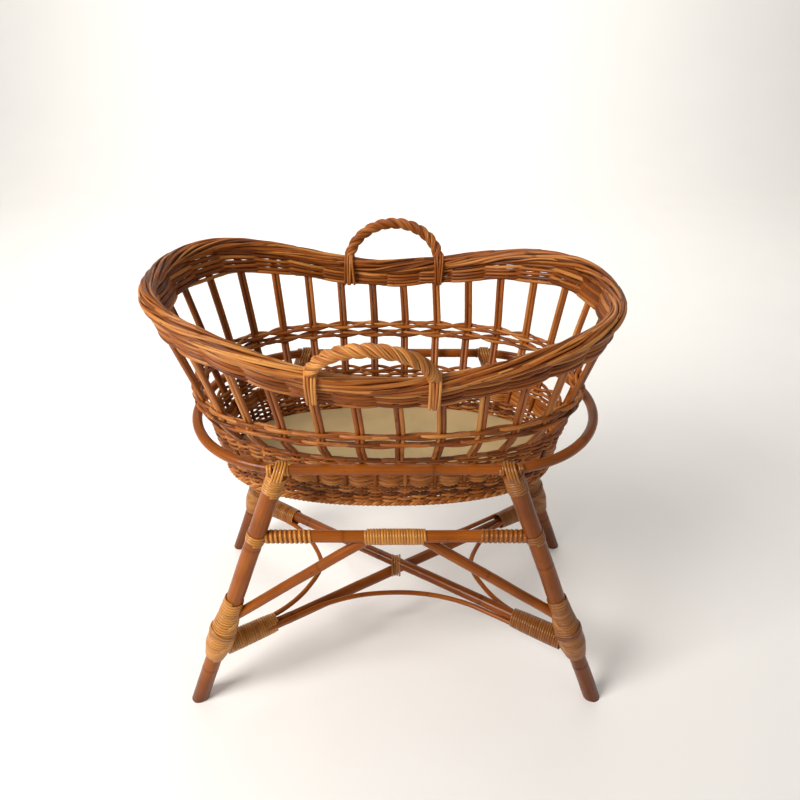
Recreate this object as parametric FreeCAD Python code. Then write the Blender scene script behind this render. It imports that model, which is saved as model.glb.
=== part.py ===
import FreeCAD, Part
import math
import os

# Bassinet on stand: a willow basket resting in a four-legged rattan stand.
# Units are millimetres. +X runs along the basket, +Y to its rear side, +Z up.
# The origin is on the floor under the middle of the stand.

# Stand
FOOT_X = 400.0
FOOT_Y = 218.0
TOP_X = 190.0
TOP_Y = 200.0
LEG_R = 16.0
HOOP_Z = 571.0
HOOP_R = 9.0
HOOP_STRAIGHT = 166.0
HOOP_END_R = 200.0
RAIL_Z = 428.0
RAIL_R = 11.0
SIDE_RAIL_Z = 443.7
BRACE_R = 9.5
BRACE_TOP_X = 40.0
BRACE_LOW_Z = 222.0
CROSS_R = 11.0
CROSS_LOW_Z = 138.0
CROSS_HIGH_Z = 160.2
BOW_R = 5.0
BOW_Z = 149.0
CANE = 2.6
NAIL_R = 1.3

# Basket: levels of the stake line, from the bottom to the rim.
# Each is height at mid side, rise at the left end, rise at the right end,
# half width, left end x, right end x, squareness of the oval.
BASE = (458.0, 0.0, 0.0, 153.0, -320.0, 295.0, 2.3)
WEAVE_TOP = (558.0, 11.0, 3.0, 157.0, -340.0, 315.0, 2.35)
MID_LOW = (612.0, 4.0, 1.0, 197.0, -355.0, 329.0, 2.4)
MID_HIGH = (645.0, 1.0, 1.0, 203.0, -355.0, 332.0, 2.4)
BAND_LOW = (714.0, 58.0, 37.0, 229.0, -390.0, 359.0, 2.5)
BAND_HIGH = (737.0, 76.0, 48.0, 234.0, -401.0, 367.0, 2.5)
RIM = (751.0, 76.0, 48.0, 236.0, -404.0, 370.0, 2.52)
LEVELS = [BASE, WEAVE_TOP, MID_LOW, MID_HIGH, BAND_LOW, RIM]
CROWD = [-0.15, -0.15, -0.08, -0.08, 0.03, 0.05]
DRIFT = 0.0029
STAKES = 30
STAKE_R = 3.9
STAKE_PAIR = 8.1
STAKE_BEND = 20.0
# The low rods end inside the side weave, just under the ends of the upper rods
LOW_SHARE = 0.76
WEAVE_HALF = 6.0
BAND_HALF = 7.0
WALE_HALF = 8.5
RIM_R = 14.0
FOOT_LOW = 455.0
FOOT_HIGH = 467.0
PLATE_LOW = 459.0
PLATE_HIGH = 466.0
STICK_R = 4.2
STICK_PITCH = 52.0
HANDLE_X = {"front": -31.0, "rear": -3.0}
HANDLE_HALF = 90.0
HANDLE_RISE = 68.0
HANDLE_LEAN = 0.55
HANDLE_R = 11.0
HANDLE_TAIL = 38.0
LASH_HALF = 12.0
LASH = 3.0

# Board
BOARD_LOW = 467.6
BOARD_THICK = 5.0
BOARD_A = 298.0
BOARD_B = 143.0

POINTS = 72
V = FreeCAD.Vector
parts = {}


def rod(a, b, radius):
    along = b - a
    return Part.makeCylinder(radius, along.Length, a, along)


def pipe(points, radius):
    curve = Part.BSplineCurve()
    curve.interpolate(points)
    edge = curve.toShape()
    start = edge.valueAt(edge.FirstParameter)
    along = edge.tangentAt(edge.FirstParameter)
    circle = Part.Wire([Part.Circle(start, along, radius).toShape()])
    return Part.Wire([edge]).makePipeShell([circle], True, True)


def bent(points, radius, bend):
    # rod of straight runs joined by tangent arcs
    edges = []
    start = points[0]
    for i in range(1, len(points) - 1):
        here = points[i]
        back = (points[i - 1] - here).normalize()
        on = (points[i + 1] - here).normalize()
        half = back.getAngle(on) / 2.0
        reach = bend / math.tan(half)
        a = here + back * reach
        b = here + on * reach
        middle = here + (back + on).normalize() * (bend / math.sin(half) - bend)
        edges.append(Part.LineSegment(start, a).toShape())
        edges.append(Part.Arc(a, middle, b).toShape())
        start = b
    edges.append(Part.LineSegment(start, points[-1]).toShape())
    circle = Part.Circle(points[0], points[1] - points[0], radius).toShape()
    face = Part.Face(Part.Wire([circle]))
    return Part.Wire(edges).makePipe(face)


def tube(a, b, inner, outer):
    return rod(a, b, outer).cut(rod(a, b, inner))


def less(shape, *cutters):
    for cutter in cutters:
        shape = shape.cut(cutter)
    return shape


def biggest(shape):
    return max(shape.Solids, key=lambda s: s.Volume)


def leg_axis(sx, sy, z):
    k = z / HOOP_Z
    x = FOOT_X + (TOP_X - FOOT_X) * k
    y = FOOT_Y + (TOP_Y - FOOT_Y) * k
    return V(sx * x, sy * y, z)


def oval(level, count=720):
    # closed row of points at equal steps round one level of the wall
    z, rise_l, rise_r, b, left, right, power = level
    a = (right - left) / 2.0
    middle = (right + left) / 2.0
    fine = []
    for i in range(count):
        t = 2 * math.pi * i / count
        c = abs(math.cos(t) / a) ** power
        s = abs(math.sin(t) / b) ** power
        r = (c + s) ** (-1.0 / power)
        fine.append((r * math.cos(t), r * math.sin(t)))
    total = [0.0]
    for i in range(count):
        p = fine[i]
        q = fine[(i + 1) % count]
        total.append(total[-1] + math.hypot(q[0] - p[0], q[1] - p[1]))
    return fine, total, a, middle


def on_level(level, s, table={}):
    # the point and outward direction at fraction s of the way round a level
    if level not in table:
        table[level] = oval(level)
    fine, total, a, middle = table[level]
    z, rise_l, rise_r = level[0], level[1], level[2]
    want = (s % 1.0) * total[-1]
    low = 0
    high = len(total) - 1
    while high - low > 1:
        mid = (low + high) // 2
        if total[mid] <= want:
            low = mid
        else:
            high = mid
    k = (want - total[low]) / (total[low + 1] - total[low])
    p = fine[low]
    q = fine[(low + 1) % len(fine)]
    x = p[0] + (q[0] - p[0]) * k
    y = p[1] + (q[1] - p[1]) * k
    b, power = level[3], level[6]
    nx = math.copysign(abs(x / a) ** (power - 1) / a, x)
    ny = math.copysign(abs(y / b) ** (power - 1) / b, y)
    size = math.hypot(nx, ny)
    rise = rise_l if x < 0 else rise_r
    lift = rise * (1 - math.cos(math.pi * min(1.0, abs(x) / a))) / 2.0
    return V(middle + x, y, z + lift), V(nx / size, ny / size, 0)


def station(s, crowd):
    # stakes stand closer together or wider apart in the middle of each long side
    s = s - DRIFT * (1 - math.sin(2 * math.pi * s))
    return s + crowd * math.sin(4 * math.pi * s) / (4 * math.pi)


def rim_at(x):
    # half width and height of the rim's centre line at one x
    z, rise_l, rise_r, b, left, right, power = RIM
    k = abs(x - (left + right) / 2.0) / ((right - left) / 2.0)
    rise = rise_l if x < (left + right) / 2.0 else rise_r
    return b * (1 - k ** power) ** (1 / power), z + rise * (1 - math.cos(math.pi * k)) / 2.0


def loop(level, out, up):
    # closed smooth edge round a level, moved outward and up
    points = []
    for i in range(POINTS):
        p, n = on_level(level, i / POINTS)
        points.append(p + n * out + V(0, 0, up))
    curve = Part.BSplineCurve()
    curve.interpolate(Points=points, PeriodicFlag=True)
    return curve.toShape()


def ring(edges):
    # closed band whose section has one corner on each edge
    faces = []
    for i in range(len(edges)):
        faces.append(Part.makeRuledSurface(edges[i], edges[(i + 1) % len(edges)]))
    shell = Part.makeShell(faces)
    shell.sewShape()
    solid = Part.makeSolid(shell)
    if solid.Volume < 0:
        solid.reverse()
    return solid


def plate(level, inset, low, high):
    # flat oval slab
    edge = loop(level, -inset, low - level[0])
    return Part.Face(Part.Wire([edge])).extrude(V(0, 0, high - low))


# Stand frame
corners = {
    "front_left": (-1, -1),
    "front_right": (1, -1),
    "rear_left": (-1, 1),
    "rear_right": (1, 1),
}

hoop = None
for sy in (-1, 1):
    a = V(-HOOP_STRAIGHT, sy * HOOP_END_R, HOOP_Z)
    b = V(HOOP_STRAIGHT, sy * HOOP_END_R, HOOP_Z)
    bar = rod(a, b, HOOP_R)
    hoop = bar if hoop is None else hoop.fuse(bar)
for sx in (-1, 1):
    centre = V(sx * HOOP_STRAIGHT, 0, HOOP_Z)
    end = Part.makeTorus(HOOP_END_R, HOOP_R, centre, V(0, 0, 1))
    half = Part.makeBox(300, 500, 40, V(min(sx * 300, 0) + sx * HOOP_STRAIGHT, -250, HOOP_Z - 20))
    hoop = hoop.fuse(end.common(half))
hoop = hoop.removeSplitter()

floor = Part.makeBox(1200, 900, 100, V(-600, -450, -100))
legs = {}
for name, (sx, sy) in corners.items():
    leg = rod(leg_axis(sx, sy, -20), leg_axis(sx, sy, HOOP_Z), LEG_R)
    legs[name] = biggest(less(leg, floor, hoop))

rails = {}
braces = {}
for side, sy in (("front", -1), ("rear", 1)):
    left = legs[side + "_left"]
    right = legs[side + "_right"]
    rail = rod(leg_axis(-1, sy, RAIL_Z), leg_axis(1, sy, RAIL_Z), RAIL_R)
    rails[side] = biggest(less(rail, left, right))
    for hand, sx in (("left", -1), ("right", 1)):
        top = V(sx * BRACE_TOP_X, leg_axis(sx, sy, RAIL_Z).y, RAIL_Z)
        brace = rod(top, leg_axis(sx, sy, BRACE_LOW_Z), BRACE_R)
        braces[side + "_" + hand] = biggest(less(brace, rails[side], legs[side + "_" + hand]))
for hand, sx in (("left", -1), ("right", 1)):
    rail = rod(leg_axis(sx, -1, SIDE_RAIL_Z), leg_axis(sx, 1, SIDE_RAIL_Z), RAIL_R)
    rails[hand] = biggest(less(rail, legs["front_" + hand], legs["rear_" + hand]))

crosses = {}
for name, z, sy in (("lower", CROSS_LOW_Z, 1), ("upper", CROSS_HIGH_Z, -1)):
    member = rod(leg_axis(-1, -sy, z), leg_axis(1, sy, z), CROSS_R)
    one = legs["front_left"] if sy > 0 else legs["rear_left"]
    two = legs["rear_right"] if sy > 0 else legs["front_right"]
    crosses[name] = biggest(less(member, one, two))

long_bow = [(338.7, 224.0), (253.4, 171.8), (195.0, 136.0), (144.0, 107.0), (75.0, 85.0), (0.0, 78.0)]
side_bow = [(351.7, 202.6), (275.0, 155.7), (222.0, 113.0), (186.0, 62.0), (165.0, 0.0)]
bows = {}
for name, half, sx, sy in (
    ("front", long_bow, 1, -1),
    ("rear", long_bow, 1, 1),
    ("left", side_bow, -1, 1),
    ("right", side_bow, 1, 1),
):
    points = []
    for x, y in half:
        points.append((x, y))
    for x, y in reversed(half[:-1]):
        points.append((-x, y) if name in ("front", "rear") else (x, -y))
    row = [V(sx * x, sy * y, BOW_Z) for x, y in points]
    bow = pipe(row, BOW_R)
    bows[name] = biggest(less(bow, *legs.values(), *crosses.values()))

# Cane bindings
wood = list(legs.values()) + list(rails.values()) + list(braces.values())
wood += list(crosses.values()) + list(bows.values()) + [hoop]

joint_profile = [(134.0, 17.5), (148.0, 22.0), (172.0, 26.5), (205.0, 26.0), (250.0, 21.0), (300.0, 18.3)]
lower_wraps = []
cross_wraps = []
hoop_wraps = []
for name, (sx, sy) in corners.items():
    foot = leg_axis(sx, sy, 0)
    along = leg_axis(sx, sy, HOOP_Z) - foot
    barrel = None
    for (z0, r0), (z1, r1) in zip(joint_profile, joint_profile[1:]):
        piece = Part.makeCone(r0, r1, z1 - z0, foot + along * (z0 / along.Length), along)
        barrel = piece if barrel is None else barrel.fuse(piece)
    near = [legs[name], braces[name]] + list(crosses.values()) + list(bows.values())
    lower_wraps.append(biggest(less(barrel, *near)))
    z = CROSS_LOW_Z if sx * sy > 0 else CROSS_HIGH_Z
    start = leg_axis(sx, sy, z)
    inward = V(-start.x, -start.y, 0).normalize()
    binding = rod(start + inward * 14, start + inward * 126, 19.5)
    binding.translate(V(0, 0, (BOW_Z - z) / 2.0 + 0.3))
    cross_wraps.append(biggest(less(binding, barrel, *near)))
    top = leg_axis(sx, sy, HOOP_Z)
    collar = rod(leg_axis(sx, sy, HOOP_Z - 46), leg_axis(sx, sy, HOOP_Z - 3), LEG_R + CANE)
    over = rod(top + V(-18, 0, 0), top + V(18, 0, 0), HOOP_R + CANE)
    hoop_wraps.append(biggest(less(collar.fuse(over), hoop, legs[name])))

rail_wraps = []
centre_wraps = []
for side, sy in (("front", -1), ("rear", 1)):
    y = leg_axis(1, sy, RAIL_Z).y
    for sx in (-1, 1):
        for i in range(9):
            x = leg_axis(1, 1, RAIL_Z).x - 22.0 - i * 8.6
            a = V(sx * x, y, RAIL_Z)
            rail_wraps.append(tube(a, a + V(-sx * 5.4, 0, 0), RAIL_R, RAIL_R + CANE))
        low = leg_axis(sx, sy, RAIL_Z - 11.0)
        high = leg_axis(sx, sy, RAIL_Z + 11.0)
        band = tube(low, high, LEG_R, LEG_R + CANE)
        near = [rails[side], rails["left" if sx < 0 else "right"]]
        rail_wraps.append(biggest(less(band, *near)))
    sleeve = rod(V(-52, y, RAIL_Z), V(52, y, RAIL_Z), RAIL_R + 3.4)
    cheeks = [braces[side + "_left"], braces[side + "_right"]]
    centre_wraps.append(biggest(less(sleeve, rails[side], *cheeks)))
for sx in (-1, 1):
    for sy in (-1, 1):
        for i in range(3):
            start = leg_axis(sx, sy, SIDE_RAIL_Z)
            a = V(start.x, start.y - sy * (22.0 + i * 11.0), start.z)
            b = a + V(0, -sy * 6.0, 0)
            rail_wraps.append(tube(a, b, RAIL_R, RAIL_R + CANE))

knot = None
for sy in (-1, 1):
    along = V(FOOT_X, sy * FOOT_Y, 0).normalize()
    z = CROSS_LOW_Z if sy > 0 else CROSS_HIGH_Z
    middle = V(0, 0, z)
    piece = rod(middle - along * 17, middle + along * 17, CROSS_R + CANE)
    knot = piece if knot is None else knot.fuse(piece)
cross_centre = biggest(less(knot, crosses["lower"], crosses["upper"]))

# Hidden nails: driven through each joint into the leg or rail
nails = {"hoop": [], "rails": [], "braces": [], "stretchers": []}
for name, (sx, sy) in corners.items():
    top = leg_axis(sx, sy, HOOP_Z)
    down = (leg_axis(sx, sy, 0) - top).normalize()
    nails["hoop"].append(rod(top + down * 2, top + down * 40, NAIL_R))
    for z, way in ((RAIL_Z, V(-sx, 0, 0)), (SIDE_RAIL_Z, V(0, -sy, 0))):
        a = leg_axis(sx, sy, z)
        nails["rails"].append(rod(a - way * 8, a + way * 34, NAIL_R))
    low = leg_axis(sx, sy, BRACE_LOW_Z)
    high = V(sx * BRACE_TOP_X, leg_axis(sx, sy, RAIL_Z).y, RAIL_Z)
    way = (high - low).normalize()
    nails["braces"].append(rod(low - way * 6, low + way * 44, NAIL_R))
    z = CROSS_LOW_Z if sx * sy > 0 else CROSS_HIGH_Z
    a = leg_axis(sx, sy, z)
    way = V(-a.x, -a.y, 0).normalize()
    nails["stretchers"].append(rod(a - way * 6, a + way * 40, NAIL_R))
all_nails = []
for group in nails.values():
    all_nails += group
driven = Part.makeCompound(all_nails)
hoop = hoop.cut(driven)
for group in (legs, rails, braces, crosses):
    for name in group:
        group[name] = biggest(group[name].cut(driven))

for name, shape in legs.items():
    parts["leg_" + name] = shape
parts["hoop"] = hoop
for name, shape in rails.items():
    parts["rail_" + name] = shape
for name, shape in braces.items():
    parts["brace_" + name] = shape
for name, shape in crosses.items():
    parts["cross_" + name] = shape
for name, shape in bows.items():
    parts["bow_" + name] = shape
parts["wrap_hoop_joints"] = hoop_wraps
parts["wrap_lower_joints"] = lower_wraps
parts["wrap_cross_ends"] = cross_wraps
parts["wrap_rail_ends"] = rail_wraps
parts["wrap_rail_centres"] = centre_wraps
parts["wrap_cross_centre"] = cross_centre
for name, shapes in nails.items():
    parts["nails_" + name] = shapes

# Basket bottom
parts["foot_border"] = ring([
    loop(BASE, 9.0, FOOT_LOW + 3 - BASE[0]),
    loop(BASE, 5.0, FOOT_LOW - BASE[0]),
    loop(BASE, -5.0, FOOT_LOW - BASE[0]),
    loop(BASE, -9.0, FOOT_LOW + 3 - BASE[0]),
    loop(BASE, -9.0, FOOT_HIGH - BASE[0]),
    loop(BASE, 9.0, FOOT_HIGH - BASE[0]),
])
parts["base_weave"] = plate(BASE, 9.3, PLATE_LOW, PLATE_HIGH)
stick_z = (PLATE_LOW + PLATE_HIGH) / 2.0
outline = plate(BASE, 3.0, FOOT_LOW, FOOT_HIGH)
sticks = None
middle = (BASE[4] + BASE[5]) / 2.0
for i in range(-5, 6):
    x = middle + i * STICK_PITCH
    stick = rod(V(x, -BASE[3], stick_z), V(x, BASE[3], stick_z), STICK_R)
    sticks = stick if sticks is None else sticks.fuse(stick)
for y in (-60.0, 0.0, 60.0):
    stick = rod(V(BASE[4], y, stick_z), V(BASE[5], y, stick_z), STICK_R)
    sticks = sticks.fuse(stick)
parts["base_sticks"] = biggest(sticks.common(outline))

# Basket wall
parts["side_weave"] = ring([
    loop(BASE, WEAVE_HALF + 0.5, FOOT_HIGH + 0.1 - BASE[0]),
    loop(BASE, -WEAVE_HALF + 0.5, FOOT_HIGH + 0.1 - BASE[0]),
    loop(WEAVE_TOP, -WEAVE_HALF, 0),
    loop(WEAVE_TOP, WEAVE_HALF, 0),
])
parts["mid_band"] = ring([
    loop(MID_LOW, BAND_HALF, 0),
    loop(MID_LOW, -BAND_HALF, 0),
    loop(MID_HIGH, -BAND_HALF, 0),
    loop(MID_HIGH, BAND_HALF, 0),
])
parts["upper_wale"] = ring([
    loop(BAND_LOW, WALE_HALF, 0),
    loop(BAND_LOW, -WALE_HALF, 0),
    loop(BAND_HIGH, -WALE_HALF, -0.6),
    loop(BAND_HIGH, WALE_HALF, -0.6),
])
section = []
for i in range(12):
    t = math.pi * (2 * i + 1) / 12.0
    section.append(loop(RIM, RIM_R * math.cos(t), RIM_R * math.sin(t)))
parts["rim_border"] = ring(section)

# Side stakes: single rods inside the side weave, and pairs from there up to the rim
tucked = []
for p, q in zip(BASE, WEAVE_TOP):
    tucked.append(p + (q - p) * 0.8)
tucked = tuple(tucked)
low_stakes = []
stakes = []
for k in range(STAKES):
    for half in (-1, 1):
        s = station(k / STAKES, 0.0) + half / (4.0 * STAKES)
        low = on_level(BASE, s)[0] + V(0, 0, 3.5)
        high = on_level(WEAVE_TOP, s)[0]
        low_stakes.append(rod(low, low + (high - low) * LOW_SHARE, STAKE_R))
        row = []
        for level, crowd in zip([tucked] + LEVELS[1:], CROWD):
            p, n = on_level(level, station(k / STAKES, crowd))
            along = V(-n.y, n.x, 0)
            row.append(p + along * (half * STAKE_PAIR / 2.0))
        stakes.append(bent(row, STAKE_R, STAKE_BEND))
parts["low_stakes"] = low_stakes
parts["stakes"] = stakes

# Handles lean outward with the wall; their tails run down behind the border
for side, sy in (("front", -1), ("rear", 1)):
    centre = HANDLE_X[side]
    y0, z0 = rim_at(centre - HANDLE_HALF)
    y1, z1 = rim_at(centre + HANDLE_HALF)
    row = []
    for down in (1.0, 0.5):
        y = y0 - HANDLE_TAIL * down * 0.16
        row.append(V(centre - HANDLE_HALF, sy * y, z0 - HANDLE_TAIL * down))
    for i in range(13):
        t = math.pi * (1 - i / 12.0)
        k = (1 + math.cos(t)) / 2.0
        rise = HANDLE_RISE * math.sin(t)
        y = y0 + (y1 - y0) * k + rise * HANDLE_LEAN
        z = z0 + (z1 - z0) * k + 2 + rise
        row.append(V(centre + HANDLE_HALF * math.cos(t), sy * y, z))
    for down in (0.5, 1.0):
        y = y1 - HANDLE_TAIL * down * 0.16
        row.append(V(centre + HANDLE_HALF, sy * y, z1 - HANDLE_TAIL * down))
    parts["handle_" + side] = pipe(row, HANDLE_R)
    lashings = []
    for sx, y0, z0 in ((-1, y0, z0), (1, y1, z1)):
        x = centre + sx * HANDLE_HALF
        bands = []
        for grow in (0.0, LASH):
            corners_yz = [
                (y0 - 15.2 - grow, z0 + 4 + grow),
                (y0 - 6.0 - grow * 0.5, z0 + 16 + grow),
                (y0 + 7.0 + grow * 0.5, z0 + 16 + grow),
                (y0 + 14.6 + grow, z0 + 4 + grow * 0.5),
                (y0 + 14.6 + grow, z0 - 8 - grow * 0.5),
                (y0 + 3.0 + grow, z0 - 41 - grow),
                (y0 - 16.0 - grow, z0 - 41 - grow),
            ]
            wire = [V(x - LASH_HALF, sy * y, z) for y, z in corners_yz]
            wire.append(wire[0])
            face = Part.Face(Part.makePolygon(wire))
            bands.append(face.extrude(V(2 * LASH_HALF, 0, 0)))
        band = bands[1].cut(bands[0])
        lashings.append(biggest(band.cut(parts["handle_" + side])))
    parts["lashing_" + side] = lashings

# Loose board
board_level = (BOARD_LOW, 0.0, 0.0, BOARD_B, middle - BOARD_A, middle + BOARD_A, 2.3)
parts["board"] = plate(board_level, 0.0, BOARD_LOW, BOARD_LOW + BOARD_THICK)

os.makedirs("parts", exist_ok=True)
for name, shape in parts.items():
    if isinstance(shape, list):
        solids = []
        for item in shape:
            solids += item.Solids
        shape = solids[0] if len(solids) == 1 else Part.makeCompound(solids)
    shape.exportStep("parts/" + name + ".step")
    box = shape.BoundBox
    print(name, len(shape.Solids), shape.isValid(), round(shape.Volume / 1000.0, 1),
          round(box.XMin), round(box.XMax), round(box.YMin), round(box.YMax),
          round(box.ZMin, 1), round(box.ZMax, 1))
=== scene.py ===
import math
import random

import bpy
import numpy as np
from bpy.props import FloatProperty, FloatVectorProperty, IntProperty, PointerProperty
from bpy.types import Operator, Panel, PropertyGroup
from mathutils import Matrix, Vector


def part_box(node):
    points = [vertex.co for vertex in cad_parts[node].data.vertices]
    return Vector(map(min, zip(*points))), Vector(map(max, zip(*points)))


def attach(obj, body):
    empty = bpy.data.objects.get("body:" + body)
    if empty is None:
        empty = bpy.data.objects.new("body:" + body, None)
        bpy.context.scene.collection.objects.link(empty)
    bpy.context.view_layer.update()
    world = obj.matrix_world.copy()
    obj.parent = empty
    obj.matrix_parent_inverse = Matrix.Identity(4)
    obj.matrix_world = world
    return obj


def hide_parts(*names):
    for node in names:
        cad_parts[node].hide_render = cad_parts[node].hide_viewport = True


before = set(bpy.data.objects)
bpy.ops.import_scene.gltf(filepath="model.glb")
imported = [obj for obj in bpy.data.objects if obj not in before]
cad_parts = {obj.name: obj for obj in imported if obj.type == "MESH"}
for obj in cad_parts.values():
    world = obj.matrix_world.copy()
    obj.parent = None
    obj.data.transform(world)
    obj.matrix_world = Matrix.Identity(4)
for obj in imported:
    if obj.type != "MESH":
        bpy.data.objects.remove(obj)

bl_info = {
    "name": "Woven Bassinet on Stand",
    "version": (1, 0, 0),
    "blender": (4, 5, 0),
    "location": "View3D > Sidebar > Bassinet",
    "description": "Builds a willow bassinet basket in its cane-bound rattan stand",
    "category": "Add Mesh",
}

MM = 0.001

# The wall of the basket, from the bottom to the rim, in millimetres: height at mid side,
# rise at the head end, rise at the foot end, half width, head end x, foot end x, squareness.
BASE = (458.0, 0.0, 0.0, 153.0, -320.0, 295.0, 2.3)
WEAVE_TOP = (558.0, 11.0, 3.0, 157.0, -340.0, 315.0, 2.35)
MID_LOW = (612.0, 4.0, 1.0, 197.0, -355.0, 329.0, 2.4)
MID_HIGH = (645.0, 1.0, 1.0, 203.0, -355.0, 332.0, 2.4)
BAND_LOW = (714.0, 58.0, 37.0, 229.0, -390.0, 359.0, 2.5)
RIM = (751.0, 76.0, 48.0, 236.0, -404.0, 370.0, 2.52)
LEVELS = [BASE, WEAVE_TOP, MID_LOW, MID_HIGH, BAND_LOW, RIM]
# How far the stake pairs crowd towards the middle of a long side, from their tucked ends up
CROWD = [-0.15, -0.15, -0.08, -0.08, 0.03, 0.05]
# How far, as a share of the way round, the front stakes stand to one side
DRIFT = 0.0029
# The low rods end at this share of the side weave's height, under the ends of the upper rods
LOW_SHARE = 0.76
TUCK_SHARE = 0.8
HANDLE_X = {"front": -31.0, "rear": -3.0}
HANDLE_HALF = 90.0


def linear(text):
    """sRGB hex colour to the linear values that shaders take."""
    values = [int(text[i:i + 2], 16) / 255.0 for i in (1, 3, 5)]
    return [v / 12.92 if v <= 0.04045 else ((v + 0.055) / 1.055) ** 2.4 for v in values]


def colour(name, description, text):
    return FloatVectorProperty(name=name, description=description, subtype="COLOR",
                               size=3, min=0.0, max=1.0, default=linear(text))


def size(name, description, value, low=0.0):
    return FloatProperty(name=name, description=description, default=value, min=low,
                         subtype="DISTANCE", unit="LENGTH")


# ---------------------------------------------------------------- settings

class BassinetStandSizes(PropertyGroup):
    leg: size("Leg radius", "Radius of the four splayed legs", 0.016)
    hoop: size("Hoop radius", "Radius of the bent top hoop", 0.009)
    rail: size("Rail radius", "Radius of the long rails", 0.011)
    side_rail: size("Side rail radius", "Radius of the rails under the basket", 0.0107)
    brace: size("Brace radius", "Radius of the diagonal braces", 0.0095)
    cross: size("Stretcher radius", "Radius of the crossed stretchers", 0.011)
    bow: size("Bow radius", "Radius of the thin bowed rods", 0.005)
    cane_width: size("Cane width", "Width of the cane strip in the bindings", 0.0052)
    cane_thick: size("Cane thickness", "Thickness of the cane strip", 0.0015)


class BassinetBasketSizes(PropertyGroup):
    stakes: IntProperty(name="Stake pairs", description="Pairs of upright stakes round the wall",
                        default=30, min=8)
    stake: size("Stake radius", "Radius of one upright rod", 0.0039)
    weaver: size("Weaver radius", "Radius of the rods in the side weave", 0.0025)
    border: size("Border rod radius", "Radius of the rods rolled into the rim", 0.0025)
    rope: size("Handle rod radius", "Radius of the thin rods twisted round the handles", 0.0022)


class BassinetColours(PropertyGroup):
    pole_dark: colour("Pole dark", "Darkest varnish in the pole's skin", "#451C05")
    pole_mid: colour("Pole mid", "Usual colour of the varnished pole", "#904A0C")
    pole_light: colour("Pole light", "Palest streaks of the pole", "#BE7420")
    cane_dark: colour("Cane dark", "Dark edge of the cane strip", "#6E380C")
    cane_light: colour("Cane light", "Glossy face of the cane strip", "#CE8A38")
    willow_dark: colour("Willow dark", "Darkest buff willow rods", "#472008")
    willow_mid: colour("Willow mid", "Usual red-brown of the buff rods", "#964F16")
    willow_light: colour("Willow light", "Palest rods of the weave", "#D0904A")
    board: colour("Board", "Khaki hardboard", "#CDB381")
    floor: colour("Floor", "Plain pale floor", "#F3F1EE")


class BassinetStage(PropertyGroup):
    key: FloatProperty(name="Key light", description="Power of the large upper left light",
                       default=104.0, min=0.0, subtype="POWER", unit="POWER")
    fill: FloatProperty(name="Fill light", description="Power of the right fill light",
                        default=5.0, min=0.0, subtype="POWER", unit="POWER")
    back: FloatProperty(name="Backdrop light", description="Power of the light on the backdrop",
                        default=120.0, min=0.0, subtype="POWER", unit="POWER")
    sky: FloatProperty(name="Room light", description="Strength of the even room light",
                       default=0.34, min=0.0)
    lens: FloatProperty(name="Lens", description="Focal length on a 36 mm sensor",
                        default=31.5, min=1.0, subtype="DISTANCE_CAMERA", unit="CAMERA")


# ---------------------------------------------------------------- curves and strands

def oval(level, s):
    """Points, outward directions and running directions round one level, at equal steps."""
    z, rise_l, rise_r, b, left, right, power = level
    a, middle = (right - left) / 2.0, (right + left) / 2.0
    t = np.linspace(0, 2 * np.pi, 1441)
    r = (np.abs(np.cos(t) / a) ** power + np.abs(np.sin(t) / b) ** power) ** (-1.0 / power)
    x, y = r * np.cos(t), r * np.sin(t)
    run = np.concatenate([[0.0], np.cumsum(np.hypot(np.diff(x), np.diff(y)))])
    want = (np.asarray(s, float) % 1.0) * run[-1]
    x, y = np.interp(want, run, x), np.interp(want, run, y)
    nx = np.sign(x) * np.abs(x / a) ** (power - 1) / a
    ny = np.sign(y) * np.abs(y / b) ** (power - 1) / b
    n = np.stack([nx, ny, np.zeros_like(nx)], 1)
    n /= np.linalg.norm(n, axis=1)[:, None]
    rise = np.where(x < 0, rise_l, rise_r)
    lift = rise * (1 - np.cos(np.pi * np.minimum(1.0, np.abs(x) / a))) / 2.0
    return np.stack([middle + x, y, z + lift], 1), n


def station(s, crowd=0.0):
    """Where a stake stands: closer together or wider apart in the middle of a long side."""
    s = s - DRIFT * (1 - np.sin(2 * np.pi * s))
    return s + crowd * np.sin(4 * np.pi * s) / (4 * np.pi)


def rim_at(x):
    """Half width and height of the rim's centre line at one x."""
    z, rise_l, rise_r, b, left, right, power = RIM
    k = abs(x - (left + right) / 2.0) / ((right - left) / 2.0)
    rise = rise_l if x < (left + right) / 2.0 else rise_r
    return b * (1 - k ** power) ** (1 / power), z + rise * (1 - math.cos(math.pi * k)) / 2.0


def between(low, high, k):
    """The level a share k of the way from low to high."""
    return tuple(p + (q - p) * k for p, q in zip(low, high))


def smooth(points, count):
    """A curve through the points, as count points in equal steps of its parameter."""
    p = np.asarray(points, float)
    p = np.concatenate([[2 * p[0] - p[1]], p, [2 * p[-1] - p[-2]]])
    u = np.linspace(0, len(p) - 3 - 1e-9, count)
    i = u.astype(int)
    t = (u - i)[:, None]
    a, b, c, d = p[i], p[i + 1], p[i + 2], p[i + 3]
    return 0.5 * (2 * b + (c - a) * t + (2 * a - 5 * b + 4 * c - d) * t ** 2
                  + (3 * b - a - 3 * c + d) * t ** 3)


def unit(v):
    v = np.asarray(v, float)
    return v / np.maximum(np.linalg.norm(v, axis=-1, keepdims=True), 1e-12)


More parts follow.
